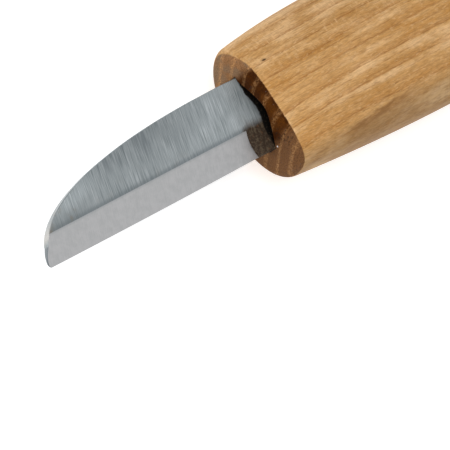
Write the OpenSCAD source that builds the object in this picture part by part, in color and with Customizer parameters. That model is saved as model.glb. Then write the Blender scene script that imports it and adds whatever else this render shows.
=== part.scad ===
// Fixed-blade whittling knife lying on its side: a beveled steel blade whose tang is
// glued into a blind mortise in a one-piece wooden handle.
// X runs along the knife with the tip toward -X, the cutting edge faces -Y, the spine +Y.
// Z = 0 is the surface that the handle lies on. All sizes are in millimetres.

/* [Blade] */
// Length of blade standing out of the handle
blade_out = 52; // [46:1:60]
// Height of the blade from cutting edge to spine
blade_h = 15; // [13:0.5:16]
// Thickness of the ground flats
blade_t = 2.4; // [1.8:0.1:3]
// Height of the bevel on the left side, +Z
bevel_left_h = 5.35; // [3.5:0.05:7]
// Height of the bevel on the right side, -Z
bevel_right_h = 4; // [3.5:0.1:7]
// How far the edge lies to the right of the blade's middle plane
edge_right = 0.3; // [0:0.05:0.5]
// Length of unsharpened blade between the edge and the handle
ricasso_len = 3.3; // [2:0.1:8]
// Thickness left along the cutting edge
edge_t = 0.06; // [0.04:0.01:0.2]
// How full the curve of the spine is, from an ellipse up to a boxy nose
spine_power = 2.4; // [2:0.1:3]
// Straight spine between the handle and the start of the curve
spine_flat = 2.6; // [0:0.2:8]
// Height of the short straight facet above the tip
tip_facet_h = 3.5; // [2:0.5:6]
// How far the tip stands in front of the spine curve
tip_facet_out = 0.8; // [0:0.1:2]

/* [Tang] */
// Length of the hidden tang
tang_len = 55; // [35:1:70]
// Height of the hidden tang
tang_h = 9; // [6:0.5:9]
// Thickness of the unground tang and shoulders
stock_t = 2.5; // [2.5:0.1:3.1]
// Depth that the full-height shoulders reach into the handle
shoulder_in = 9; // [4:1:11]

/* [Handle] */
// Length of the handle
handle_len = 110; // [100:1:125]
// Height of the handle behind its front rim, before it swells
front_h = 27; // [25:0.5:29]
// Width from the blade's plane to the left side at the front
front_left = 7.05; // [6.75:0.05:8.5]
// Width from the blade's plane to the right side at the front
front_right = 10.1; // [8.5:0.1:10.5]
// How far the top and bottom swell toward the palm, on each side
swell_h = 2.15; // [1:0.05:3]
// How far the flanks swell toward the palm, on each side
swell_w = 2.2; // [1:0.1:3]
// Distance from the front at which the top is fully swollen
top_reach = 26; // [20:1:50]
// Distance from the front at which the bottom is fully swollen
bottom_reach = 50; // [30:1:60]
// Radius of the rounded front rim
rim_r = 1.9; // [0.8:0.1:2.2]
// Turn of the front end about the length of the handle, in degrees
front_turn = -5.8; // [-8:0.2:0]
// How much the handle narrows again toward the butt, on each side
butt_taper = 1.8; // [0:0.1:3]
// Length of the rounded butt
butt_round = 12; // [6:1:16]

/* [Mortise] */
// Width of the pointed mouth where it is widest
mouth_w = 9.8; // [7:0.2:9.8]
// Length of the pointed mouth, before its ends are squared off
mouth_len = 17.2; // [16:0.2:19]
// How round the sides of the mouth are, from straight at 1 to full at 2
mouth_power = 1.4; // [1:0.1:2]
// How far the widest place of the mouth lies below the blade's middle
mouth_low = 0.4; // [0:0.1:0.8]
// Depth of the mouth
mouth_depth = 12; // [12:1:16]
// Diameter of the drilled hole for the tang
tang_bore_d = 10; // [9.6:0.2:12]
// Depth of the open mouth in front of the glue
glue_below = 2.5; // [1:0.5:4]

/* [Hidden] */
$fn = 96;
around = 64;              // points around one section of the handle
spine_steps = 28;         // segments in the curve of the spine
overall = blade_out + handle_len;
front_x = blade_out - overall / 2;
tip_x = front_x - blade_out;
heel_x = front_x - ricasso_len;
blade_z = front_right + swell_w;     // height of the blade's middle plane
blade_mid_y = 0.15;                  // blade's mid-height, above the handle's axis
edge_y = blade_mid_y - blade_h / 2;
spine_y = edge_y + blade_h;
grind_end_x = front_x - 0.5;         // the ground flats stop just in front of the handle
blend_len = 45;                      // front shape fades into the plain oval over this length
taper_from = 62;
oval_power = 2.3;                    // fullness of the oval at the palm
front_powers = [2.3, 3.4, 2.05, 1.9];    // upper left, lower left, lower right, upper right
butt_inset = 6;                      // how far the rounding draws the butt in
bore_depth = tang_len + 3;
slot_gap = 0.05;                     // clearance around the unground steel in the mouth
mouth_end = blade_h / 2 + slot_gap;
mouth_steps = 24;                    // segments along each side of the mouth
over = 1;                            // cutters and stock run past a face by this much

// Curve from the spine down to the nose
nose_len = blade_out - spine_flat - tip_facet_out;
nose_start_x = front_x - spine_flat;
function nose_x(y) = nose_start_x
    - nose_len * pow(1 - pow((y - edge_y) / blade_h, spine_power), 1 / spine_power);
function nose_y(a) = edge_y + tip_facet_h + (blade_h - tip_facet_h) * sin(a);

function spine_curve() = [for (i = [spine_steps:-1:0])
    let (y = nose_y(90 * i / spine_steps)) [nose_x(y), y]];

module ground_profile() {
    polygon(concat([[grind_end_x, edge_y], [grind_end_x, spine_y]], spine_curve(), [[tip_x, edge_y]]));
}

// Shoulders and tang, as one outline on the unground steel
module stock_profile() {
    shoulder_x = front_x + shoulder_in;
    tang_end_x = front_x + tang_len;
    polygon([[grind_end_x, edge_y], [shoulder_x, edge_y], [shoulder_x, blade_mid_y - tang_h / 2],
             [tang_end_x - tang_h / 4, blade_mid_y - tang_h / 2], [tang_end_x, blade_mid_y - tang_h / 4],
             [tang_end_x, blade_mid_y + tang_h / 4], [tang_end_x - tang_h / 4, blade_mid_y + tang_h / 2],
             [shoulder_x, blade_mid_y + tang_h / 2], [shoulder_x, spine_y], [grind_end_x, spine_y]]);
}

// Wedge of steel ground away on the +Z side, for an edge whose +Z side stands at edge_z
module bevel_cut(bevel_h, edge_z) {
    half_t = blade_t / 2;
    translate([heel_x, edge_y, 0]) rotate([90, 0, -90])
        linear_extrude(height = blade_out + over)
            polygon([[over, edge_z - over * (half_t - edge_z) / bevel_h],
                     [over, half_t + over], [-bevel_h, half_t + over], [-bevel_h, half_t]]);
}

module blade_solid() {
    translate([0, 0, blade_z]) {
        difference() {
            translate([0, 0, -blade_t / 2]) linear_extrude(height = blade_t) ground_profile();
            bevel_cut(bevel_left_h, edge_t / 2 - edge_right);
            mirror([0, 0, 1]) bevel_cut(bevel_right_h, edge_t / 2 + edge_right);
        }
        translate([0, 0, -stock_t / 2]) linear_extrude(height = stock_t) stock_profile();
    }
}

// How far the handle has swollen at distance s from the front
function swell(s, full, reach) = full * (1 - pow(1 - min(s / reach, 1), 2));
function rim_in(s) = s >= rim_r ? 0 : rim_r - sqrt(pow(rim_r, 2) - pow(rim_r - max(s, 0), 2));
function taper_in(s) = butt_taper * pow(max(s - taper_from, 0) / (handle_len - taper_from), 2);
function butt_in(s) =
    let (u = 0.95 * min(max(s - handle_len + butt_round, 0) / butt_round, 1))
    butt_inset * (1 - sqrt(1 - u * u)) / (1 - sqrt(1 - 0.95 * 0.95));
function drawn_in(s) = rim_in(s) + taper_in(s) + butt_in(s);

// Share of the front end's own shape that is left at distance s
function front_share(s) = let (u = min(max(s, 0) / blend_len, 1)) 1 - u * u * (3 - 2 * u);
function lobe(c, power) = sign(c) * pow(abs(c), 2 / power);
function quarter(a) = a < 90 ? 0 : a < 180 ? 1 : a < 270 ? 2 : 3;

// Closed ring of points around the handle at distance s from the front
function handle_ring(s, x) =
    let (up = front_h / 2 + swell(s, swell_h, top_reach) - drawn_in(s),
         down = front_h / 2 + swell(s, swell_h, bottom_reach) - drawn_in(s),
         left = front_left + swell(s, swell_w, blend_len) - drawn_in(s),
         right = front_right + swell(s, swell_w, blend_len) - drawn_in(s),
         share = front_share(s), turn = front_turn * share)
    [for (i = [0:around - 1])
        let (a = 360 * i / around,
             power = oval_power + (front_powers[quarter(a)] - oval_power) * share,
             c = lobe(cos(a), power), d = lobe(sin(a), power),
             y = c * (c > 0 ? up : down), z = d * (d > 0 ? left : right))
        [x, y * cos(turn) - z * sin(turn), blade_z + y * sin(turn) + z * cos(turn)]];

// Distances from the front at which the handle has a ring
rim_rings = [for (a = [0:15:90]) rim_r * (1 - cos(a))];
body_rings = [for (s = [5:5:handle_len - butt_round - 3]) s];
butt_rings = [for (i = [0:8]) handle_len - butt_round * (1 - sin(90 * i / 8))];
ring_places = concat([-over], rim_rings, body_rings, butt_rings, [handle_len + over]);

module handle_shell() {
    rings = [for (s = ring_places)
        handle_ring(min(max(s, 0), handle_len), front_x + s)];
    last = len(rings) - 1;
    walls = [for (r = [0:last - 1], i = [0:around - 1])
        let (j = (i + 1) % around)
        each [[r * around + i, (r + 1) * around + i, (r + 1) * around + j],
              [r * around + i, (r + 1) * around + j, r * around + j]]];
    front_cap = [for (i = [0:around - 1]) i];
    back_cap = [for (i = [around - 1:-1:0]) last * around + i];
    polyhedron(points = [for (ring = rings) each ring], faces = concat(walls, [front_cap, back_cap]));
}

// Half the width of the mouth at height y above the blade's middle
function mouth_half(y) = max(stock_t / 2 + slot_gap,
    mouth_w / 2 * (1 - pow(abs(y + mouth_low) / (mouth_len / 2), mouth_power)));
function mouth_y(i) = mouth_end * (1 - 2 * i / mouth_steps);

// Mouth of the mortise, pointed above and below, standing along X
module mouth(depth) {
    left = [for (i = [0:mouth_steps]) [mouth_y(i), mouth_half(mouth_y(i))]];
    right = [for (i = [mouth_steps:-1:0]) [mouth_y(i), -mouth_half(mouth_y(i))]];
    rotate([90, 0, 90]) linear_extrude(height = depth) polygon(concat(left, right));
}

// Space in the handle from start to the bottom of the mortise
module mortise(start) {
    translate([front_x, blade_mid_y, blade_z]) {
        translate([start, 0, 0]) mouth(mouth_depth - start);
        translate([mouth_depth - over, 0, 0]) rotate([0, 90, 0])
            cylinder(h = bore_depth - mouth_depth + over, d = tang_bore_d);
    }
}

module blade() {
    color("lightsteelblue") blade_solid();
}

module handle() {
    color("burlywood") difference() {
        intersection() {
            handle_shell();
            translate([front_x, -handle_len / 2, -over]) cube([handle_len, handle_len, handle_len]);
        }
        mortise(-over);
    }
}

module tang_glue() {
    color("dimgray") difference() {
        mortise(glue_below);
        blade_solid();
    }
}

blade();
handle();
tang_glue();
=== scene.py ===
"""Whittling knife on its side: a ground steel blade, an ash handle, and the glue around the tang.

Lengths are in millimetres until a mesh is made. X runs along the knife with the tip toward -X,
the cutting edge faces -Y, and Z = 0 is the surface that the handle lies on. The ends and faces of
the CAD parts come from the frame. The other sizes repeat those of the CAD model, but for small
roundings and roughnesses that only this model has.
"""
import math

import bmesh
import bpy
import numpy as np
from mathutils import Matrix, Vector


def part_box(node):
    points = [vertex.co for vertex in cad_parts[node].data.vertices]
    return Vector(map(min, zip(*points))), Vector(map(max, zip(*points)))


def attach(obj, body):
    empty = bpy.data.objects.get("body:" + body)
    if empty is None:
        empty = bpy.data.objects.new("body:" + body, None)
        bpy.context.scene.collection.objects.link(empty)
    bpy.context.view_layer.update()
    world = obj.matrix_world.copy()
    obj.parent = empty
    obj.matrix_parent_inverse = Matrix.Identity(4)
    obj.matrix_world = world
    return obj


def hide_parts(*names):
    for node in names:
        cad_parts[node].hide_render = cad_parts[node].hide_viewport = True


MM = 0.001
WELD_DIST = 0.0005

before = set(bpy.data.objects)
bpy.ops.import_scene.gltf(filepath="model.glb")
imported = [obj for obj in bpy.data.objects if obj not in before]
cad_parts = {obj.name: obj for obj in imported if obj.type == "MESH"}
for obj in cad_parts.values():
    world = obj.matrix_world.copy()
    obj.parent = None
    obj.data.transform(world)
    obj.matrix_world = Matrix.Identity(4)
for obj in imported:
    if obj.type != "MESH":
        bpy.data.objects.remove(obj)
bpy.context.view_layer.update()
handle_low, handle_high = (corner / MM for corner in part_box("handle"))
blade_low, blade_high = (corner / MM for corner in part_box("blade"))

# Blade
FRONT_X = handle_low.x
TIP_X = blade_low.x
EDGE_Y = blade_low.y
BLADE_H = blade_high.y - blade_low.y
BLADE_MID_Y = EDGE_Y + BLADE_H / 2
BLADE_Z = (blade_low.z + blade_high.z) / 2
STOCK_HALF = (blade_high.z - blade_low.z) / 2
FLAT_HALF = 1.2
GRIND_END_X = FRONT_X - 0.5
SPINE_POWER = 2.4
NOSE_START_X = FRONT_X - 2.6
NOSE_LEN = NOSE_START_X - TIP_X - 0.8
FACET_H = 3.5
FACET_BULGE = 0.3
TIP_ROUND = 0.9
TIP_ROUND_SHARE = 0.9
BEVEL_LEFT_H = 5.35
BEVEL_RIGHT_H = 4.0
EDGE_LEFT_Z = -0.27
EDGE_RIGHT_Z = -0.33
EDGE_BELLY = 0.1
SPINE_CHAMFER = 0.12
PLUNGE_X = FRONT_X - 3.65
PLUNGE_HEEL = 0.45
PLUNGE_HOLLOW = 0.3
THICKEN_FROM_X = FRONT_X + 2
THICKEN_TO_X = FRONT_X + 5
SHOULDER_X = FRONT_X + 9
SHOULDER_EASE = 0.3
TANG_END_X = blade_high.x
TANG_POINT = 2.25
TANG_SHARE = 0.6

# Handle
HANDLE_LEN = handle_high.x - handle_low.x
FRONT_HALF_H = 13.5
FRONT_LEFT = 7.05
FRONT_RIGHT = 10.1
SWELL_H = 2.15
SWELL_W = 2.2
TOP_REACH = 26
BOTTOM_REACH = 50
RIM_R = 1.9
FRONT_TURN = math.radians(-5.8)
BUTT_TAPER = 1.8
TAPER_FROM = 62
BUTT_ROUND = 12
BUTT_INSET = 6
BUTT_REACH = 0.95
BLEND_LEN = 45
OVAL_POWER = 2.3
FRONT_POWERS = (2.3, 3.4, 2.05, 1.9)

# Mortise
MOUTH_HALF_W = 4.9
MOUTH_HALF_LEN = 8.6
MOUTH_POWER = 1.4
MOUTH_LOW = 0.4
MOUTH_DEPTH = 12
SLOT_GAP = 0.05
BORE_R = 5
BORE_DEPTH = 58
GLUE_BELOW = 2.5

AROUND = 256


# ---------------------------------------------------------------- mesh helpers

class Skin:
    """Vertices and faces of one mesh while it is being built, in millimetres."""

    def __init__(self):
        self.points = []
        self.faces = []
        self.kinds = []

    def add(self, points):
        """Adds points and returns their numbers."""
        first = len(self.points)
        self.points.extend(tuple(p) for p in points)
        return list(range(first, len(self.points)))

    def face(self, corners, kind=0):
        """Adds one face, leaving out corners that repeat the one before."""
        kept = [c for n, c in enumerate(corners) if self.points[c] != self.points[corners[n - 1]]]
        if len(kept) > 2:
            self.faces.append(kept)
            self.kinds.append(kind)

    def strip(self, one, other, kind=0, closed=False):
        """Quads between two lines of vertices with the same count."""
        count = len(one) if closed else len(one) - 1
        for n in range(count):
            m = (n + 1) % len(one)
            self.face([one[n], one[m], other[m], other[n]], kind)

    def zip(self, one, other, kind=0):
        """Triangles between two lines along X whose counts may differ."""
        i, j = 0, 0
        while i < len(one) - 1 or j < len(other) - 1:
            next_one = self.points[one[i + 1]][0] if i < len(one) - 1 else math.inf
            next_other = self.points[other[j + 1]][0] if j < len(other) - 1 else math.inf
            if next_one <= next_other:
                self.face([one[i], one[i + 1], other[j]], kind)
                i += 1
            else:
                self.face([one[i], other[j + 1], other[j]], kind)
                j += 1

    def fan(self, ring, centre, kind=0):
        """Triangles from a closed ring to one point."""
        middle = self.add([centre])[0]
        for n, corner in enumerate(ring):
            self.face([corner, ring[(n + 1) % len(ring)], middle], kind)

    def make(self, name, materials, sharp_degrees):
        """The finished object, riding on the knife, with its repeated points joined."""
        mesh = bpy.data.meshes.new(name)
        mesh.from_pydata([Vector(p) * MM for p in self.points], [], self.faces)
        for material in materials:
            mesh.materials.append(material)
        mesh.polygons.foreach_set("material_index", self.kinds)
        weld(mesh)
        mesh.polygons.foreach_set("use_smooth", [True] * len(mesh.polygons))
        mesh.set_sharp_from_angle(angle=math.radians(sharp_degrees))
        made = bpy.data.objects.new(name, mesh)
        bpy.context.scene.collection.objects.link(made)
        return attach(made, "root")


def weld(mesh):
    """Joins points that lie on each other and turns all faces outward."""
    work = bmesh.new()
    work.from_mesh(mesh)
    bmesh.ops.remove_doubles(work, verts=work.verts, dist=WELD_DIST * MM)
    bmesh.ops.dissolve_degenerate(work, edges=work.edges, dist=WELD_DIST * MM)
    bmesh.ops.recalc_face_normals(work, faces=work.faces)
    work.to_mesh(mesh)
    work.free()


def mixed(a, b, share):
    return a + (b - a) * share


def smooth(u):
    u = min(max(u, 0), 1)
    return u * u * (3 - 2 * u)


# ---------------------------------------------------------------- blade

def nose_x(h):
    """Place of the spine's curve at height h above the edge."""
    return NOSE_START_X - NOSE_LEN * (1 - (h / BLADE_H) ** SPINE_POWER) ** (1 / SPINE_POWER)


def outline_x(h):
    """Front of the blade at height h: the nose, and below it the facet and the rounded tip."""
    if h >= FACET_H:
        return nose_x(h)
    corner = max(1 - h / TIP_ROUND, 0)
    rounding = TIP_ROUND * (1 - math.sqrt(1 - TIP_ROUND_SHARE * corner ** 2))
    bulge = FACET_BULGE * math.sin(math.pi * h / FACET_H)
    return mixed(TIP_X, nose_x(FACET_H), h / FACET_H) - bulge + rounding


def outline_h(x):
    """Height of the spine's curve at x."""
    if x >= NOSE_START_X:
        return BLADE_H
    along = (NOSE_START_X - x) / NOSE_LEN
    return BLADE_H * (1 - along ** SPINE_POWER) ** (1 / SPINE_POWER)


# Heights of the rows of vertices on the bevels, closest together at the edge
LOW_HEIGHTS = [0, 0.03, 0.1, 0.25, 0.5, 0.9, 1.4, 2, 2.5, 3,
               FACET_H, BEVEL_RIGHT_H, 4.5, 4.92, BEVEL_LEFT_H]
GROUND_STEPS = 64
TIP_CROWDING = 1.2
WALL_STEPS = 6
WALL_W = (0.1, 0.4)          # length of the plunge's wall, at the top and at the foot
FLAT_ROWS = 10
NOSE_X = outline_x(BEVEL_LEFT_H)
WALL_END_X = PLUNGE_X + WALL_W[0]
COLUMNS = (
    [mixed(NOSE_X, PLUNGE_X, (n / GROUND_STEPS) ** TIP_CROWDING) for n in range(GROUND_STEPS + 1)]
    + [mixed(PLUNGE_X, WALL_END_X, n / WALL_STEPS) for n in range(1, WALL_STEPS + 1)]
    + [FRONT_X - 3, NOSE_START_X, FRONT_X - 2, FRONT_X - 1.3, GRIND_END_X, GRIND_END_X + 0.2]
    + [THICKEN_FROM_X, THICKEN_TO_X, SHOULDER_X - SHOULDER_EASE, SHOULDER_X + SHOULDER_EASE]
    + [FRONT_X + 25, FRONT_X + 40, TANG_END_X - TANG_POINT, TANG_END_X]
)


def outline_points():
    """The profile from the tip up and back along the spine, as (x, height, inward x, inward height)."""
    line = [(outline_x(h), h) for h in LOW_HEIGHTS]
    line += [(x, outline_h(x)) for x in COLUMNS[1:]]
    points = []
    for n, (x, h) in enumerate(line):
        x0, h0 = line[max(n - 1, 0)]
        x1, h1 = line[min(n + 1, len(line) - 1)]
        length = math.hypot(x1 - x0, h1 - h0)
        points.append((x, h, (h1 - h0) / length, -(x1 - x0) / length))
    return points


OUTLINE = outline_points()


def half_thickness(x):
    """Half the steel's thickness at x, from the ground flats to the unground stock."""
    return float(np.interp(x, [THICKEN_FROM_X, THICKEN_TO_X], [FLAT_HALF, STOCK_HALF]))


def height_share(x):
    """Share of the blade's height that is left at x, behind the shoulders."""
    shoulder = [SHOULDER_X - SHOULDER_EASE, SHOULDER_X + SHOULDER_EASE]
    places = shoulder + [TANG_END_X - TANG_POINT, TANG_END_X]
    return float(np.interp(x, places, [1, TANG_SHARE, TANG_SHARE, TANG_SHARE / 2]))


class Side:
    """One face of the blade: rows of the bevel below, rows of the flat above, columns along X."""

    def __init__(self, skin, sign, bevel_h, edge_z):
        self.skin = skin
        self.sign = sign
        self.bevel_h = bevel_h
        self.edge_z = edge_z
        self.low = [h for h in LOW_HEIGHTS if h <= bevel_h]
        corner = len(self.low) - 1
        self.columns = [p[0] for p in OUTLINE[corner:]]
        self.heel = self.columns.index(PLUNGE_X)
        bevel = [self.bevel_row(n) for n in range(corner)]
        flat = [self.flat_row(n / FLAT_ROWS) for n in range(FLAT_ROWS + 1)]
        self.rows = bevel + flat
        self.outline = [row[0] for row in bevel] + flat[-1]
        self.faces(corner)

    def bevel_z(self, h):
        """Depth of the bevel's surface on this side, from the blade's middle plane."""
        return mixed(self.edge_z, self.sign * FLAT_HALF, min(h / self.bevel_h, 1))

    def inset(self, n):
        """Outline point n, drawn in by the small chamfer, with the chamfer's width."""
        x, h, in_x, in_h = OUTLINE[n]
        left = BEVEL_LEFT_H, EDGE_LEFT_Z, FLAT_HALF
        right = BEVEL_RIGHT_H, EDGE_RIGHT_Z, -FLAT_HALF
        upper, lower = (mixed(z, flat, min(h / high, 1)) for high, z, flat in (left, right))
        width = min(SPINE_CHAMFER, 0.3 * (upper - lower))
        return x + in_x * width, h + in_h * width, width

    def place(self, x, h, z):
        """Point at height h above the edge and depth z from the middle plane."""
        y = EDGE_Y + h
        y = BLADE_MID_Y + (y - BLADE_MID_Y) * height_share(x)
        return x, y, BLADE_Z + z

    def bevel_row(self, n):
        """Row n of the bevel from the tip to the plunge, up its wall and back along the tang."""
        rise = self.low[n] / self.bevel_h
        start_x, start_h, width = self.inset(n)
        plunge = PLUNGE_X + PLUNGE_HEEL * (1 - rise) ** 2 - PLUNGE_HOLLOW * math.sin(math.pi * rise)
        wall_end = plunge + mixed(WALL_W[1], WALL_W[0], rise)
        keys = [self.columns[0], PLUNGE_X, WALL_END_X, GRIND_END_X, TANG_END_X]
        places = [start_x, plunge, wall_end, GRIND_END_X, TANG_END_X]
        points = []
        for column in self.columns:
            x = float(np.interp(column, keys, places))
            share = min((x - start_x) / (plunge - start_x), 1)
            h = mixed(start_h, self.low[n], share ** 0.2)
            h -= EDGE_BELLY * 4 * share * (1 - share) * (1 - rise)
            climb = smooth((x - plunge) / (wall_end - plunge))
            top = self.sign * half_thickness(x)
            points.append(self.place(x, h, mixed(self.bevel_z(h), top, climb)))
        return self.skin.add(points)

    def flat_row(self, share):
        """Row of the flat, from the top of the bevel at 0 to the spine at 1."""
        corner = len(self.low) - 1
        nose_x_in, nose_h_in, _ = self.inset(corner)
        points = []
        for n, column in enumerate(self.columns):
            top_x, top_h, _ = self.inset(corner + n)
            foot_x = max(column, nose_x_in) if n else nose_x_in
            foot_h = self.bevel_h if n else nose_h_in
            x, h = mixed(foot_x, top_x, share), mixed(foot_h, top_h, share)
            points.append(self.place(x, h, self.sign * half_thickness(column)))
        return self.skin.add(points)

    def faces(self, corner):
        """Faces between the rows, with the ground bevel as a kind of its own."""
        for n, (lower, upper) in enumerate(zip(self.rows, self.rows[1:])):
            ground = self.heel if n < corner else 0
            self.skin.strip(lower[:ground + 1], upper[:ground + 1], kind=1)
            self.skin.strip(lower[ground:], upper[ground:])


def make_blade(steel, bevel, spine):
    skin = Skin()
    left = Side(skin, 1, BEVEL_LEFT_H, EDGE_LEFT_Z)
    right = Side(skin, -1, BEVEL_RIGHT_H, EDGE_RIGHT_Z)
    rims = []
    for side in (left, right):
        rim = []
        for n, corner in enumerate(side.outline):
            z = skin.points[corner][2] - side.sign * side.inset(n)[2]
            x, h = OUTLINE[n][:2]
            rim.append(side.place(x, h, z - BLADE_Z))
        rims.append(skin.add(rim))
    skin.strip(left.outline, rims[0], kind=2)
    skin.strip(rims[0], rims[1], kind=2)
    skin.strip(rims[1], right.outline, kind=2)
    skin.zip(left.rows[0], right.rows[0])
    skin.face([left.rows[0][0], rims[0][0], rims[1][0], right.rows[0][0]], 2)
    end = [row[-1] for row in left.rows] + [rims[0][-1], rims[1][-1]]
    skin.face(end + [row[-1] for row in reversed(right.rows)])
    blade = skin.make("blade_steel", [steel, bevel, spine], sharp_degrees=8)
    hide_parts("blade")


# ---------------------------------------------------------------- handle

def swell(s, full, reach):
    """How far the handle has swollen at distance s from its front."""
    return full * (1 - (1 - min(s / reach, 1)) ** 2)


def drawn_in(s):
    """How far the rim, the taper and the rounded butt draw the surface in."""
    rim = RIM_R - math.sqrt(RIM_R ** 2 - max(RIM_R - s, 0) ** 2)
    taper = BUTT_TAPER * (max(s - TAPER_FROM, 0) / (HANDLE_LEN - TAPER_FROM)) ** 2
    u = BUTT_REACH * max(s - HANDLE_LEN + BUTT_ROUND, 0) / BUTT_ROUND
    full = 1 - math.sqrt(1 - BUTT_REACH ** 2)
    return rim + taper + BUTT_INSET * (1 - math.sqrt(1 - u * u)) / full


def lobe(c, power):
    return math.copysign(abs(c) ** (2 / power), c)


def handle_ring(s):
    """Closed ring of points around the handle at distance s from its front."""
    inward = drawn_in(s)
    up = FRONT_HALF_H + swell(s, SWELL_H, TOP_REACH) - inward
    down = FRONT_HALF_H + swell(s, SWELL_H, BOTTOM_REACH) - inward
    left = FRONT_LEFT + swell(s, SWELL_W, BLEND_LEN) - inward
    right = FRONT_RIGHT + swell(s, SWELL_W, BLEND_LEN) - inward
    front_share = 1 - smooth(s / BLEND_LEN)
    turn = FRONT_TURN * front_share
    ring = []
    for n in range(AROUND):
        angle = 2 * math.pi * n / AROUND
        power = mixed(OVAL_POWER, FRONT_POWERS[n * 4 // AROUND], front_share)
        y = lobe(math.cos(angle), power)
        z = lobe(math.sin(angle), power)
        y *= up if y > 0 else down
        z *= left if z > 0 else right
        turned_y = y * math.cos(turn) - z * math.sin(turn)
        turned_z = y * math.sin(turn) + z * math.cos(turn)
        ring.append((FRONT_X + s, turned_y, BLADE_Z + turned_z))
    return ring


def mouth_half(y):
    """Half the width of the mortise's mouth at height y above the blade's middle."""
    pointed = MOUTH_HALF_W * (1 - (abs(y + MOUTH_LOW) / MOUTH_HALF_LEN) ** MOUTH_POWER)
    return max(pointed, STOCK_HALF + SLOT_GAP)


def mouth_ring(s, wider=0.0):
    """Ring around the mouth of the mortise at depth s."""
    ring = []
    for n in range(AROUND):
        angle = 2 * math.pi * n / AROUND
        y = (BLADE_H / 2 + SLOT_GAP) * math.cos(angle)
        side = round(math.sin(angle), 9)
        z = math.copysign(mouth_half(y) + wider, side) if side else 0
        y += wider * math.cos(angle)
        ring.append((FRONT_X + s, BLADE_MID_Y + y, BLADE_Z + z))
    return ring


def round_ring(s, radius):
    angles = [2 * math.pi * n / AROUND for n in range(AROUND)]
    return [(FRONT_X + s, BLADE_MID_Y + radius * math.cos(a), BLADE_Z + radius * math.sin(a))
            for a in angles]


def between(ring, other, share):
    return [tuple(mixed(a, b, share) for a, b in zip(p, q)) for p, q in zip(ring, other)]


# Depths of the rings in the mouth, closest together at its lip
MOUTH_RINGS = (MOUTH_DEPTH, 8, 5, 3.4, 2.6, 1.9, 1.2, 0.6, 0.3, 0.12)
BORE_RINGS = (BORE_DEPTH, BORE_DEPTH / 2, MOUTH_DEPTH)
LIP_W = 0.1
FACE_STEPS = 10
BODY_STEPS = 50


def handle_rings():
    """All rings of the handle, from the bottom of the mortise out, round the rim and back to the butt."""
    rings = [round_ring(s, BORE_R) for s in BORE_RINGS] + [mouth_ring(s) for s in MOUTH_RINGS]
    lip = mouth_ring(0, wider=LIP_W)
    face_edge = handle_ring(0)
    rings += [between(lip, face_edge, n / FACE_STEPS) for n in range(FACE_STEPS)]
    rings += [handle_ring(RIM_R * (1 - math.cos(math.radians(a)))) for a in range(0, 96, 6)]
    body_end = HANDLE_LEN - BUTT_ROUND
    rings += [handle_ring(mixed(RIM_R, body_end, n / BODY_STEPS)) for n in range(1, BODY_STEPS)]
    rings += [handle_ring(body_end + BUTT_ROUND * math.sin(math.radians(a))) for a in range(0, 90, 4)]
    return rings


def make_handle(wood, mortise_wall):
    skin = Skin()
    rings = [skin.add(ring) for ring in handle_rings()]
    mortise_rings = len(BORE_RINGS) + len(MOUTH_RINGS)
    for n, (one, other) in enumerate(zip(rings, rings[1:])):
        skin.strip(one, other, kind=1 if n < mortise_rings else 0, closed=True)
    skin.fan(rings[0], (FRONT_X + BORE_DEPTH, BLADE_MID_Y, BLADE_Z), kind=1)
    butt = handle_ring(HANDLE_LEN)
    middle = (FRONT_X + HANDLE_LEN, 0, BLADE_Z)
    last = rings[-1]
    for share in (0.15, 0.35, 0.6, 0.8):
        inner = skin.add(between(butt, [middle] * AROUND, share))
        skin.strip(last, inner, closed=True)
        last = inner
    skin.fan(last, middle)
    handle = skin.make("handle_wood", [wood, mortise_wall], sharp_degrees=35)
    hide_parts("handle")


# ---------------------------------------------------------------- glue

GLUE_SAG = 0.5
GLUE_RIPPLE = 0.12
GLUE_TOP_STEPS = 8
GLUE_END = 0.2               # glue behind the end of the tang


def steel_ring(s, height):
    """Ring on the surface of the steel inside the mortise."""
    ring = []
    for n in range(AROUND):
        angle = 2 * math.pi * n / AROUND
        side = round(math.sin(angle), 9)
        z = math.copysign(STOCK_HALF, side) if side else 0
        ring.append((FRONT_X + s, BLADE_MID_Y + height / 2 * math.cos(angle), BLADE_Z + z))
    return ring


def glue_top(share):
    """One ring of the glue's uneven top, from the steel at 0 to the wood at 1."""
    ring = between(steel_ring(GLUE_BELOW, BLADE_H), mouth_ring(GLUE_BELOW), share)
    sag = GLUE_SAG * math.sin(math.pi * share)
    return [(x + sag + GLUE_RIPPLE * math.sin(1.9 * y + 2.3 * z) * math.cos(1.3 * z), y, z)
            for x, y, z in ring]


def make_glue(glue):
    skin = Skin()
    tang_h = BLADE_H * TANG_SHARE
    pocket_end = TANG_END_X - FRONT_X + GLUE_END
    shoulder = SHOULDER_X - FRONT_X
    inside = [steel_ring(pocket_end, tang_h), steel_ring(shoulder + 0.4, tang_h),
              steel_ring(shoulder - SHOULDER_EASE, BLADE_H)]
    top = [glue_top(n / GLUE_TOP_STEPS) for n in range(GLUE_TOP_STEPS + 1)]
    outside = [mouth_ring(MOUTH_DEPTH), round_ring(MOUTH_DEPTH, BORE_R), round_ring(BORE_DEPTH, BORE_R)]
    rings = [skin.add(ring) for ring in inside + top + outside]
    for one, other in zip(rings, rings[1:]):
        skin.strip(one, other, closed=True)
    skin.fan(rings[0], (FRONT_X + pocket_end, BLADE_MID_Y, BLADE_Z))
    skin.fan(rings[-1], (FRONT_X + BORE_DEPTH, BLADE_MID_Y, BLADE_Z))
    piece = skin.make("tang_glue_fill", [glue], sharp_degrees=35)
    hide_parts("tang_glue")


# ---------------------------------------------------------------- material helpers

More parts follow.
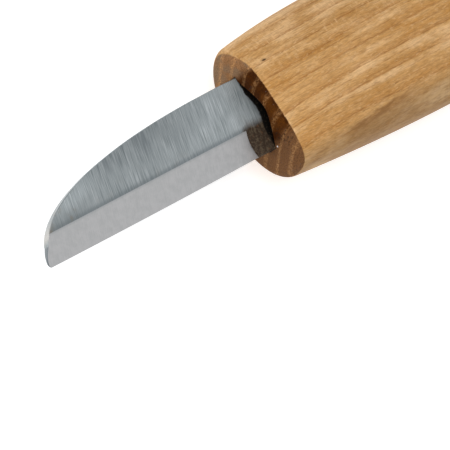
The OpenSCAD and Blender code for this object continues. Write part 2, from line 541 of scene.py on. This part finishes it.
def srgb(red, green, blue):
    """Linear colour from screen values of 0 to 255."""
    def linear(value):
        value /= 255
        return value / 12.92 if value <= 0.04045 else ((value + 0.055) / 1.055) ** 2.4
    return linear(red), linear(green), linear(blue), 1.0


class Paint:
    """A material's node tree, with short names for the nodes that it is made of."""

    def __init__(self, name):
        self.material = bpy.data.materials.new(name)
        self.material.use_nodes = True
        self.tree = self.material.node_tree
        self.shader = self.tree.nodes["Principled BSDF"]
        place = self.node("ShaderNodeTexCoord")
        self.normal = place.outputs["Normal"]
        scaled = self.node("ShaderNodeVectorMath", operation="SCALE")
        self.plug(place.outputs["Object"], scaled.inputs[0])
        scaled.inputs["Scale"].default_value = 1 / MM
        self.mm = scaled.outputs[0]
        self.x, self.y, self.z = self.split(self.mm)

    def node(self, kind, **settings):
        made = self.tree.nodes.new(kind)
        for key, value in settings.items():
            setattr(made, key, value)
        return made

    def plug(self, value, socket):
        if isinstance(value, bpy.types.NodeSocket):
            self.tree.links.new(value, socket)
        else:
            socket.default_value = value

    def split(self, vector):
        made = self.node("ShaderNodeSeparateXYZ")
        self.plug(vector, made.inputs[0])
        return made.outputs

    def join(self, x, y, z):
        made = self.node("ShaderNodeCombineXYZ")
        for value, socket in zip((x, y, z), made.inputs):
            self.plug(value, socket)
        return made.outputs[0]

    def calc(self, operation, a, b=0.0):
        made = self.node("ShaderNodeMath", operation=operation)
        for value, socket in zip((a, b), made.inputs):
            self.plug(value, socket)
        return made.outputs[0]

    def add(self, a, b):
        return self.calc("ADD", a, b)

    def times(self, a, b):
        return self.calc("MULTIPLY", a, b)

    def along(self, direction):
        """Distance along a direction, in millimetres."""
        made = self.node("ShaderNodeVectorMath", operation="DOT_PRODUCT")
        self.plug(self.mm, made.inputs[0])
        made.inputs[1].default_value = direction
        return made.outputs["Value"]

    def step(self, value, low, high, start=0.0, end=1.0):
        """Smooth change from start to end while value goes from low to high."""
        made = self.node("ShaderNodeMapRange", interpolation_type="SMOOTHSTEP")
        for number, socket in zip((value, low, high, start, end), made.inputs):
            self.plug(number, socket)
        return made.outputs[0]

    def spots(self, vector, size, detail=2.0, roughness=0.5):
        """Cloudy noise around 0.5, with lumps of about one unit when size is 1."""
        made = self.node("ShaderNodeTexNoise")
        self.plug(vector, made.inputs["Vector"])
        made.inputs["Scale"].default_value = 1 / size
        made.inputs["Detail"].default_value = detail
        made.inputs["Roughness"].default_value = roughness
        return made.outputs["Fac"]

    def grain(self, sizes, shift=0.0, detail=3, roughness=0.5):
        """Cloudy noise whose lumps have these sizes along X, Y and Z, in millimetres."""
        x, y, z = (self.times(value, 1 / size) for value, size in zip((self.x, self.y, self.z), sizes))
        return self.spots(self.join(self.add(x, shift), y, z), 1, detail, roughness)

    def swing(self, noise, reach):
        """Noise around 0.5 turned into an offset around 0."""
        return self.times(self.add(noise, -0.5), reach)

    def mix(self, share, a, b, blend="MIX"):
        made = self.node("ShaderNodeMix", data_type="RGBA", blend_type=blend)
        self.plug(share, made.inputs["Factor"])
        self.plug(a, made.inputs[6])
        self.plug(b, made.inputs[7])
        return made.outputs[2]

    def bump(self, height, depth_mm):
        made = self.node("ShaderNodeBump")
        made.inputs["Strength"].default_value = 1.0
        made.inputs["Distance"].default_value = depth_mm * MM
        self.plug(height, made.inputs["Height"])
        return made.outputs[0]

    def finish(self, color, roughness, bump=None, **others):
        self.plug(color, self.shader.inputs["Base Color"])
        self.plug(roughness, self.shader.inputs["Roughness"])
        if bump is not None:
            self.plug(bump, self.shader.inputs["Normal"])
        for name, value in others.items():
            self.plug(value, self.shader.inputs[name.replace("_", " ")])
        return self.material


# ---------------------------------------------------------------- wood

RING_NORMAL = (0, 0.866, -0.5)
RING_ACROSS = (0, 0.5, 0.866)
RING_SPACING = 3.05
# X over which the look of the front end fades into that of the back
BACK_FADE = (0, 20)
# Centre and radii of single marks
FLECK = ((-24.6, 7.7, 18.3), (0.7, 0.3, 0.9))
DOT = ((FRONT_X, -7.34, 14.4), (0.6, 0.24, 0.24))
DIRT = ((FRONT_X, -6.5, 17.5), (3, 3.6, 4.2))
# Pale patches of painted sheen low on the flank
SHEEN_PATCHES = [((7, -13, 18), (9, 3, 3.5)), ((-23, -13.7, 14), (4, 1.8, 3))]
WOOD_LIGHT = srgb(210, 170, 122)
WOOD_MID = srgb(187, 143, 90)
WOOD_DARK = srgb(174, 126, 69)
WOOD_EARLY = srgb(168, 116, 58)
PORE_BROWN = srgb(138, 88, 42)
FLECK_BLACK = srgb(40, 24, 14)
FLECK_WHITE = srgb(215, 215, 215)
END_BROWN = srgb(132, 94, 61)
END_LOW = srgb(102, 69, 42)
END_SHEEN_GREY = srgb(118, 96, 74)
# Painted shade that the blade casts on the end grain beside the mouth, and its warmer edge
END_BLADE_SHADE = srgb(56, 25, 0)
END_BLADE_SHADE_EDGE = srgb(96, 53, 8)
END_STREAK = srgb(176, 130, 84)
END_PORE = srgb(92, 82, 76)
END_BUTT = srgb(148, 106, 66)
SHEEN_TINT = (0.53, 0.54, 0.58, 1)
SHEEN_PALE = srgb(184, 151, 108)
STAIN_BROWN = srgb(122, 84, 48)
SOOT_AND_SHADE_DARK = srgb(20, 13, 8)
SOOT_AND_SHADE_BROWN = srgb(52, 33, 18)


def shaded(paint, color, shade):
    return paint.mix(1.0, color, paint.join(shade, shade, shade), "MULTIPLY")


def blob(paint, centre, radii):
    """Share of a soft egg-shaped spot around a point, 1 in its middle."""
    moved = paint.node("ShaderNodeVectorMath", operation="SUBTRACT")
    paint.plug(paint.mm, moved.inputs[0])
    moved.inputs[1].default_value = centre
    scaled = paint.node("ShaderNodeVectorMath", operation="DIVIDE")
    paint.plug(moved.outputs[0], scaled.inputs[0])
    scaled.inputs[1].default_value = radii
    length = paint.node("ShaderNodeVectorMath", operation="LENGTH")
    paint.plug(scaled.outputs[0], length.inputs[0])
    return paint.step(length.outputs["Value"], 0.35, 1.0, 1, 0)


def ring_phase(wood):
    """Depth in the growth rings, counted in rings, each with its porous start at a whole number."""
    depth = wood.add(wood.along(RING_NORMAL), wood.swing(wood.grain((60, 14, 14)), 2.4))
    uneven = wood.spots(wood.join(0.0, depth, 0.0), 4, detail=1)
    depth = wood.add(depth, wood.swing(uneven, 1.8))
    return wood.times(depth, 1 / RING_SPACING)


def thin_line(wood, phase, width, strength):
    """Dark line at the start of each ring, crisp on one side and fading on the other."""
    place = wood.calc("FRACT", phase)
    crisp = wood.step(place, width, 2.5 * width, strength, 0.3 * strength)
    fade = wood.step(place, 2 * width, 9 * width, 1, 0)
    return wood.times(wood.times(wood.step(place, 0, 0.5 * width), crisp), fade)


def side_pores(wood, phase):
    """Lines of open pores broken into dashes, one to each ring and finer ones between."""
    lines = wood.calc("MAXIMUM", thin_line(wood, phase, 0.05, 0.85),
                      thin_line(wood, wood.times(phase, 2.3), 0.07, 0.65))
    return wood.times(lines, wood.step(wood.grain((2.5, 0.3, 0.3)), 0.36, 0.62, 0.25, 1))


def ripple_share(wood, clouds):
    """Pale figure across the grain near the spine, strongest at the front."""
    ripple = wood.grain((0.5, 2.2, 2.2), 5.0, detail=1)
    place = wood.times(wood.step(wood.y, 2, 11), wood.step(clouds, 0.42, 0.55))
    place = wood.times(place, wood.step(wood.x, -5, 20, 0.6, 0.15))
    return wood.times(wood.step(ripple, 0.52, 0.7), place)


def side_grain(wood, phase):
    """Colour along the grain, and how deep its pores are."""
    clouds = wood.grain((7, 2.5, 2.5), 7.0, detail=4)
    tone = wood.add(wood.times(wood.grain((60, 3.2, 3.2)), 0.55), wood.times(clouds, 0.45))
    color = wood.mix(wood.step(tone, 0.36, 0.5), WOOD_DARK, WOOD_MID)
    color = wood.mix(wood.step(tone, 0.48, 0.62), color, WOOD_LIGHT)
    phase = wood.add(phase, wood.times(wood.grain((3.0, 0.6, 0.6)), 0.16))
    early = wood.step(wood.calc("FRACT", phase), 0.03, 0.45, 0.28, 0)
    color = wood.mix(early, color, WOOD_EARLY)
    pores = side_pores(wood, phase)
    color = wood.mix(wood.times(pores, 0.6), color, PORE_BROWN)
    fibres = wood.grain((1.3, 0.22, 0.22), 3.0, roughness=0.65)
    color = shaded(wood, color, wood.step(fibres, 0.3, 0.7, 0.8, 1.16))
    # Painted shade: the flank toward the spine darker, and painted light making the handle's front a
    # little lighter
    flank_shade = wood.times(wood.step(wood.y, 2, 12, 1.0, 0.9), wood.step(wood.x, -28, -12, 1.05, 0.98))
    color = shaded(wood, color, flank_shade)
    pale = wood.grain((1.1, 0.35, 0.35), 11.0, detail=2)
    color = wood.mix(wood.step(pale, 0.56, 0.7, 0, 0.4), color, WOOD_LIGHT)
    color = wood.mix(ripple_share(wood, clouds), color, WOOD_LIGHT)
    return color, wood.add(pores, wood.times(fibres, 0.3))


def stain_share(wood):
    """Brown mark along the lower flank, crisp above and fading below."""
    above = wood.add(wood.add(wood.y, wood.times(wood.x, -0.1)), 9.8)
    above = wood.add(above, wood.swing(wood.spots(wood.mm, 3, detail=2), 1.5))
    line = wood.times(wood.step(above, 0, 0.5, 1, 0), wood.step(above, -1.7, -0.4))
    under = wood.times(wood.step(above, 0, 0.3, 1, 0), wood.step(above, -5, -1, 0, 0.35))
    place = wood.times(wood.step(wood.x, -20, -14), wood.step(wood.x, -6, 4, 1, 0))
    place = wood.times(place, wood.step(wood.z, 13, 17))
    return wood.times(wood.calc("MAXIMUM", line, under), place)


def marked_side(wood, side, fine):
    """The side's colour with its black fleck, a painted grey sheen and pale patches of painted sheen low
    on the flank, and the stain.
    """
    side = wood.mix(wood.times(blob(wood, *FLECK), 0.85), side, FLECK_BLACK)
    # Painted sheen: the lower flank greyed and paled where it catches the light
    painted_sheen = wood.times(wood.step(wood.y, -13.5, -9, 0.85, 0), wood.step(wood.x, 10, 40, 1, 0.45))
    side = wood.mix(painted_sheen, side, wood.mix(1.0, side, SHEEN_TINT, "MULTIPLY"))
    side = wood.mix(wood.times(painted_sheen, wood.step(fine, 0.4, 0.65, 0, 0.3)), side, SHEEN_PALE)
    pale = wood.add(*(blob(wood, *patch) for patch in SHEEN_PATCHES))
    side = wood.mix(wood.times(pale, wood.step(fine, 0.38, 0.62, 0.1, 0.6)), side, SHEEN_PALE)
    stain = wood.times(stain_share(wood), wood.step(fine, 0.36, 0.56, 0.55, 1))
    return wood.mix(wood.times(stain, 0.75), side, STAIN_BROWN)


def end_tone(wood, blade_shade, cloud):
    """Cut wood, darker low down, with a painted grey sheen near the spine and painted shade from the
    blade, nearly black, beside the mouth.
    """
    color = wood.mix(wood.step(wood.y, -6, 6), END_LOW, END_BROWN)
    # Painted grey sheen where the end grain near the spine faces the light
    grey = wood.times(wood.step(wood.y, 5, 9), wood.step(cloud, 0.4, 0.58, 0, 0.7))
    color = wood.mix(grey, color, END_SHEEN_GREY)
    color = wood.mix(wood.step(wood.x, *BACK_FADE), color, END_BUTT)
    return wood.mix(blade_shade, color, wood.mix(wood.step(cloud, 0.45, 0.65, 0, 0.45), END_BLADE_SHADE, END_BLADE_SHADE_EDGE))


def end_streaks(wood, phase, blade_shade):
    """Pale ragged streak at the start of each ring, weaker in the painted shade of the blade."""
    across = wood.times(wood.along(RING_ACROSS), 1.6)
    depth = wood.times(wood.along(RING_NORMAL), 3.2)
    ragged = wood.spots(wood.join(0.0, depth, across), 1, detail=2)
    start = wood.calc("FRACT", phase)
    streak = wood.times(wood.step(start, 0, 0.12), wood.step(start, 0.2, 0.45, 1, 0))
    streak = wood.times(streak, wood.step(ragged, 0.36, 0.62, 0.15, 1))
    streak = wood.times(streak, wood.step(wood.spots(wood.mm, 0.3, detail=3), 0.35, 0.6, 0.3, 1))
    streak = wood.times(streak, wood.step(wood.y, -8, 0, 0.6, 1))
    return wood.times(streak, wood.step(blade_shade, 0, 1, 0.9, 0.4))


def end_pores(wood):
    """Round pores, in scattered groups."""
    cells = wood.node("ShaderNodeTexVoronoi", feature="F1")
    wood.plug(wood.join(0.0, wood.y, wood.z), cells.inputs["Vector"])
    cells.inputs["Scale"].default_value = 2.6
    pore = wood.step(cells.outputs["Distance"], 0.12, 0.3, 1, 0)
    return wood.times(pore, wood.step(wood.spots(wood.mm, 1.6, detail=1), 0.5, 0.62))


def end_grain(wood, phase):
    """Colour of the wood cut across its grain, and how deep its pores are."""
    cloud = wood.spots(wood.mm, 3.0, detail=3)
    # Painted shade of the blade: a dark band beside the mouth, fading toward the back
    blade_shade_y = wood.calc("ABSOLUTE", wood.add(wood.y, -0.6))
    blade_shade_y = wood.add(blade_shade_y, wood.swing(cloud, 2.2))
    blade_shade = wood.times(wood.step(blade_shade_y, 6.0, 8.0, 1, 0), wood.step(wood.x, *BACK_FADE, 1, 0))
    color = end_tone(wood, blade_shade, cloud)
    color = wood.mix(end_streaks(wood, phase, blade_shade), color, END_STREAK)
    pore = end_pores(wood)
    color = wood.mix(wood.times(pore, 0.5), color, END_PORE)
    fine = wood.spots(wood.mm, 0.25, detail=3, roughness=0.7)
    color = shaded(wood, color, wood.step(fine, 0.3, 0.7, 0.68, 1.32))
    dirt = wood.times(wood.step(wood.spots(wood.mm, 0.5, detail=3), 0.56, 0.64), blob(wood, *DIRT))
    color = wood.mix(wood.times(dirt, 0.8), color, FLECK_BLACK)
    return color, wood.add(pore, wood.times(fine, 0.5))


def cut_share(wood):
    """Where the wood is cut across its grain: the front end and, less sharply, the butt."""
    facing = wood.calc("ABSOLUTE", wood.split(wood.normal)[0])
    facing = wood.add(facing, wood.swing(wood.spots(wood.mm, 0.5, detail=2), 0.12))
    back = wood.step(wood.x, *BACK_FADE)
    # Near the spine the light wood wraps over the rim
    wrapped = wood.add(facing, wood.step(wood.y, 7, 13, 0, -0.38))
    front_cut = wood.times(wood.step(wrapped, 0.34, 0.44), wood.calc("SUBTRACT", 1.0, back))
    return wood.add(front_cut, wood.times(wood.step(facing, 0.3, 0.85), back))


def wood_material():
    wood = Paint("oiled_ash")
    phase = ring_phase(wood)
    fine = wood.grain((2.5, 0.8, 0.8))
    side, side_depth = side_grain(wood, phase)
    side = marked_side(wood, side, fine)
    end, end_depth = end_grain(wood, phase)
    end = wood.mix(blob(wood, *DOT), end, FLECK_WHITE)
    cut = cut_share(wood)
    color = wood.mix(cut, side, end)
    side_depth = wood.times(side_depth, wood.calc("SUBTRACT", 1.0, cut))
    depth = wood.add(side_depth, wood.times(end_depth, cut))
    rough = wood.add(wood.step(fine, 0.3, 0.7, 0.5, 0.66), wood.times(cut, 0.25))
    bump = wood.bump(wood.times(depth, -1), 0.05)
    return wood.finish(color, rough, bump, Specular_IOR_Level=0.08)


def mortise_material():
    # Walls of the mortise, charred and also painted dark as the shade deep in the slot
    wall = Paint("burnt_and_shaded_mortise")
    soot = wall.grain((1.2, 0.4, 0.4))
    color = wall.mix(wall.step(soot, 0.35, 0.7), SOOT_AND_SHADE_DARK, SOOT_AND_SHADE_BROWN)
    return wall.finish(color, wall.step(soot, 0.3, 0.7, 0.9, 0.7), wall.bump(soot, 0.1))


# ---------------------------------------------------------------- steel

BRUSH_ALONG = (0.2, 0.98, 0)
BRUSH_ACROSS = (0.98, -0.2, 0)
STEEL = srgb(150, 156, 158)
STEEL_DARK = srgb(122, 129, 131)
STEEL_PALE = srgb(182, 187, 189)
STEEL_BROWN = srgb(128, 120, 108)
STEEL_LINE = srgb(98, 106, 110)
STEEL_SHADE = srgb(112, 118, 120)
# Colour of the painted highlight on the spine near the tip
STEEL_HIGHLIGHT = srgb(178, 176, 172)
BEVEL_GREY = srgb(201, 200, 200)
BEVEL_DULL = srgb(189, 189, 189)
FACET_SHADE_GREY = srgb(106, 112, 116)
SCALE_DARK = srgb(54, 42, 32)
SCALE_GREY = srgb(82, 70, 56)
SCALE_RUST = srgb(92, 60, 38)
GLUE_BLACK = srgb(14, 10, 7)
GLUE_DARK = srgb(22, 16, 12)
GLUE_BROWN = srgb(46, 34, 24)


def brushed(steel, fineness, length, shift=0.0):
    """Scratches across the blade, of this width and length in millimetres."""
    across = steel.times(steel.along(BRUSH_ACROSS), 1 / fineness)
    lengthwise = steel.times(steel.along(BRUSH_ALONG), 1 / length)
    return steel.spots(steel.join(steel.add(across, shift), lengthwise, 0.0), 1, detail=3, roughness=0.6)


def scale_share(steel):
    """Where the dark forge scale is left: the unground steel beside the handle."""
    ragged = steel.swing(steel.spots(steel.mm, 1.2, detail=3), 1.2)
    low = steel.step(steel.add(steel.y, ragged), -2.2, 0.0, 1, 0)
    slanted = steel.add(steel.x, steel.times(steel.add(steel.y, 2.0), -0.9))
    return steel.times(low, steel.step(steel.add(slanted, ragged), FRONT_X - 5, FRONT_X - 3.9))


def smear_and_shade_share(steel):
    """Where dark glue covers the steel inside the mouth of the mortise; its edge also paints the line of
    shade that the mouth's wall casts on the steel.
    """
    above = steel.add(steel.y, -EDGE_Y - 7.8)
    depth = steel.add(0.75, steel.times(steel.times(above, above), -0.06))
    depth = steel.calc("MAXIMUM", depth, 0.05)
    ragged = steel.swing(steel.spots(steel.mm, 0.8, detail=3), 0.5)
    inside = steel.add(steel.add(steel.x, -FRONT_X), steel.add(steel.times(depth, -1), ragged))
    return steel.step(inside, -0.1, 0.25)


def flat_color(steel, tone):
    """Brushed grey with painted reflection, paler near the handle, along the nose and low on the flat,
    painted shade in a band above the bevel, and darker lines near the spine.
    """
    color = steel.mix(steel.step(tone, 0.36, 0.52), STEEL_DARK, STEEL)
    color = steel.mix(steel.step(tone, 0.5, 0.66), color, STEEL_PALE)
    # Painted reflection: lighter toward the handle, along the nose's upper edge and low on the flat
    near = steel.step(steel.x, FRONT_X - 20, FRONT_X - 3, 0, 0.3)
    slanted = steel.add(steel.y, steel.times(steel.x, -0.42))
    nose = steel.times(steel.step(steel.x, TIP_X + 8, TIP_X + 24, 1, 0),
                       steel.step(slanted, 28.5, 31.5, 0, 0.35))
    rise = steel.step(steel.y, EDGE_Y + 7, EDGE_Y + 13, 1.07, 0.95)
    color = shaded(steel, color, steel.add(steel.add(near, nose), rise))
    high = steel.times(steel.step(steel.y, EDGE_Y + 8, EDGE_Y + 12.5),
                       steel.step(steel.x, FRONT_X - 24, FRONT_X - 12, 1, 0.25))
    lines = steel.step(brushed(steel, 1.1, 14, 9.0), 0.48, 0.62, 0.1, 0.6)
    color = steel.mix(steel.times(lines, high), color, STEEL_LINE)
    # Painted shade in a band just above the bevel
    shade_above_bevel = steel.step(steel.y, EDGE_Y + 5.5, EDGE_Y + 6.5, 1, 0)
    return steel.mix(steel.times(shade_above_bevel, 0.55), color, STEEL_LINE)


def shaded_and_tarnished(steel, color):
    """The flat's colour with painted shade low toward the tip, and brown tarnish spots there."""
    spots = steel.step(steel.spots(steel.mm, 2.2, detail=3), 0.52, 0.72)
    tip = steel.times(steel.step(steel.x, TIP_X + 4, TIP_X + 18, 1, 0.12),
                      steel.step(steel.y, EDGE_Y + 6, EDGE_Y + 10, 1, 0.25))
    # Painted shade on the lower flat toward the tip
    color = steel.mix(steel.times(tip, 0.65), color, STEEL_SHADE)
    return steel.mix(steel.times(steel.times(spots, tip), 0.9), color, STEEL_BROWN)


def scale_color(steel, specks):
    """Dark forge scale with greyer specks and rusty patches."""
    wiped = brushed(steel, 0.5, 3, 2.0)
    crust = steel.mix(steel.step(steel.add(specks, wiped), 0.9, 1.2), SCALE_DARK, SCALE_GREY)
    rust = steel.step(steel.spots(steel.mm, 0.8, detail=2), 0.58, 0.7)
    return steel.mix(steel.times(rust, 0.4), crust, SCALE_RUST)


def steel_material():
    steel = Paint("satin_steel")
    fine = brushed(steel, 0.16, 5, 4.0)
    tone = steel.add(steel.times(brushed(steel, 0.32, 10), 0.2), steel.times(fine, 0.65))
    tone = steel.add(tone, steel.times(steel.spots(steel.mm, 4, detail=2), 0.15))
    specks = steel.spots(steel.mm, 0.35, detail=3)
    scale = scale_share(steel)
    smear_and_shade = smear_and_shade_share(steel)
    color = shaded_and_tarnished(steel, flat_color(steel, tone))
    color = steel.mix(scale, color, scale_color(steel, specks))
    crumbs = steel.step(specks, 0.56, 0.66, 0, 0.25)
    # Dark glue, and painted shade inside the mouth
    color = steel.mix(smear_and_shade, color, steel.mix(crumbs, GLUE_BLACK, SCALE_GREY))
    dull = steel.calc("MAXIMUM", scale, smear_and_shade)
    rough = steel.add(steel.step(tone, 0.3, 0.7, 0.5, 0.38), steel.times(dull, 0.3))
    rough = steel.add(rough, steel.step(steel.x, FRONT_X - 5, FRONT_X - 1, 0, 0.2))
    bump = steel.bump(steel.add(fine, steel.times(steel.times(specks, scale), 3.0)), 0.008)
    metal = steel.step(dull, 0, 1, 0.92, 0.0)
    shine = steel.step(dull, 0, 1, 0.5, 0.12)
    return steel.finish(color, rough, bump, Metallic=metal, Specular_IOR_Level=shine)


def bevel_material():
    bevel = Paint("ground_bevel")
    fine = brushed(bevel, 0.16, 3)
    mottled = bevel.spots(bevel.mm, 1.4, detail=4, roughness=0.6)
    tone = bevel.add(bevel.times(fine, 0.4), bevel.times(mottled, 0.6))
    color = bevel.mix(bevel.step(tone, 0.38, 0.62), BEVEL_DULL, BEVEL_GREY)
    line = bevel.step(bevel.y, EDGE_Y + BEVEL_LEFT_H - 0.5, EDGE_Y + BEVEL_LEFT_H, 0, 0.4)
    color = bevel.mix(line, color, STEEL)
    rough = bevel.step(tone, 0.3, 0.7, 0.4, 0.3)
    return bevel.finish(color, rough, bevel.bump(fine, 0.004), Metallic=1.0)


def spine_material():
    spine = Paint("spine_steel")
    lines = spine.grain((4, 4, 0.12))
    patches = spine.spots(spine.mm, 1.5, detail=3)
    color = spine.mix(spine.step(lines, 0.35, 0.65), STEEL_DARK, STEEL)
    color = spine.mix(spine.step(patches, 0.55, 0.75, 0, 0.5), color, STEEL_BROWN)
    # Painted highlight on the spine just above the facet
    painted_highlight = spine.times(spine.step(spine.y, EDGE_Y + FACET_H, EDGE_Y + 5),
                       spine.step(spine.y, EDGE_Y + 5, EDGE_Y + 8, 1, 0))
    color = spine.mix(painted_highlight, color, STEEL_HIGHLIGHT)
    # The ground facet below the crease, darker partly for its grind and partly as painted shade
    facet = spine.step(spine.y, EDGE_Y + FACET_H - 0.2, EDGE_Y + FACET_H + 0.2, 1, 0)
    color = spine.mix(facet, color, FACET_SHADE_GREY)
    rough = spine.step(lines, 0.3, 0.7, 0.42, 0.3)
    return spine.finish(color, rough, spine.bump(lines, 0.006), Metallic=1.0)


def glue_material():
    glue = Paint("dark_glue")
    lumps = glue.spots(glue.mm, 0.9, detail=4)
    color = glue.mix(glue.step(lumps, 0.35, 0.65), GLUE_DARK, GLUE_BROWN)
    return glue.finish(color, glue.step(lumps, 0.3, 0.7, 0.75, 0.5), glue.bump(lumps, 0.15))


# ---------------------------------------------------------------- stage

WORLD_HORIZON = 0.92
WORLD_TOP = 0.72
WORLD_COLOR = (0.97, 0.985, 1.0, 1.0)
# name: azimuth and elevation in degrees, distance and size in metres, light on the knife, colour
LIGHTS = {
    "key": (165, 76, 1.1, 0.7, 0.38, (1.0, 0.985, 0.96)),
    "tip_box": (155, 28, 0.9, 0.5, 0.1, (1.0, 1.0, 1.0)),
}
# Place in millimetres, two directions, and focal length for a 36 mm sensor
CAMERA_AT = (-283.17, -33.85, 417.26)
CAMERA_RIGHT = (0.75753, -0.49882, 0.42111)
CAMERA_DOWN = (-0.41341, -0.86581, -0.28189)
CAMERA_LENS = 206.94
FLOOR_REACH = 4.0
FLOOR_GREY = (0.73, 0.73, 0.73, 1)
FLOOR_PALE = (0.76, 0.76, 0.76, 1)
FLOOR_GLOW = 0.54


def emission_world():
    """Pale near the horizon and greyer overhead."""
    world = bpy.data.worlds.new("studio")
    world.use_nodes = True
    tree = world.node_tree
    place = tree.nodes.new("ShaderNodeTexCoord")
    split = tree.nodes.new("ShaderNodeSeparateXYZ")
    fade = tree.nodes.new("ShaderNodeMapRange")
    tree.links.new(place.outputs["Generated"], split.inputs[0])
    tree.links.new(split.outputs["Z"], fade.inputs["Value"])
    fade.inputs["From Min"].default_value = 0.05
    fade.inputs["From Max"].default_value = 0.75
    fade.inputs["To Min"].default_value = WORLD_HORIZON
    fade.inputs["To Max"].default_value = WORLD_TOP
    background = tree.nodes["Background"]
    tree.links.new(fade.outputs[0], background.inputs["Strength"])
    background.inputs["Color"].default_value = WORLD_COLOR
    bpy.context.scene.world = world


def direction(azimuth, elevation):
    """Unit vector toward an azimuth and elevation in degrees."""
    a, e = math.radians(azimuth), math.radians(elevation)
    return Vector((math.cos(a) * math.cos(e), math.sin(a) * math.cos(e), math.sin(e)))


def add_lights():
    middle = Vector((FRONT_X, 0, BLADE_Z)) * MM
    for name, (azimuth, elevation, distance, size, light, color) in LIGHTS.items():
        data = bpy.data.lights.new(name, "AREA")
        data.shape = "DISK"
        data.size = size
        data.color = color
        data.energy = light * (math.pi * distance) ** 2
        lamp = bpy.data.objects.new(name, data)
        toward = direction(azimuth, elevation)
        lamp.location = middle + toward * distance
        lamp.rotation_euler = toward.to_track_quat("Z", "Y").to_euler()
        bpy.context.scene.collection.objects.link(lamp)


def add_camera():
    data = bpy.data.cameras.new("camera")
    data.sensor_width = 36
    data.lens = CAMERA_LENS
    data.clip_start = 0.01
    right = Vector(CAMERA_RIGHT)
    up = -Vector(CAMERA_DOWN)
    back = right.cross(up)
    camera = bpy.data.objects.new("camera", data)
    turn = Matrix((right, up, back)).transposed().to_4x4()
    camera.matrix_world = Matrix.Translation(Vector(CAMERA_AT) * MM) @ turn
    bpy.context.scene.collection.objects.link(camera)
    bpy.context.scene.camera = camera


def add_floor():
    paint = Paint("pale_floor")
    tone = paint.spots(paint.mm, 400, detail=2)
    color = paint.mix(paint.step(tone, 0.3, 0.7), FLOOR_GREY, FLOOR_PALE)
    paint.finish(color, 0.9, Emission_Color=(1, 1, 1, 1), Emission_Strength=FLOOR_GLOW)
    mesh = bpy.data.meshes.new("floor")
    corners = [(FLOOR_REACH * x, FLOOR_REACH * y, 0) for x, y in ((-1, -1), (1, -1), (1, 1), (-1, 1))]
    mesh.from_pydata(corners, [], [(0, 1, 2, 3)])
    mesh.materials.append(paint.material)
    floor = bpy.data.objects.new("floor", mesh)
    bpy.context.scene.collection.objects.link(floor)


make_blade(steel_material(), bevel_material(), spine_material())
make_handle(wood_material(), mortise_material())
make_glue(glue_material())
emission_world()
add_lights()
add_camera()
add_floor()
bpy.context.scene.view_settings.view_transform = "Standard"
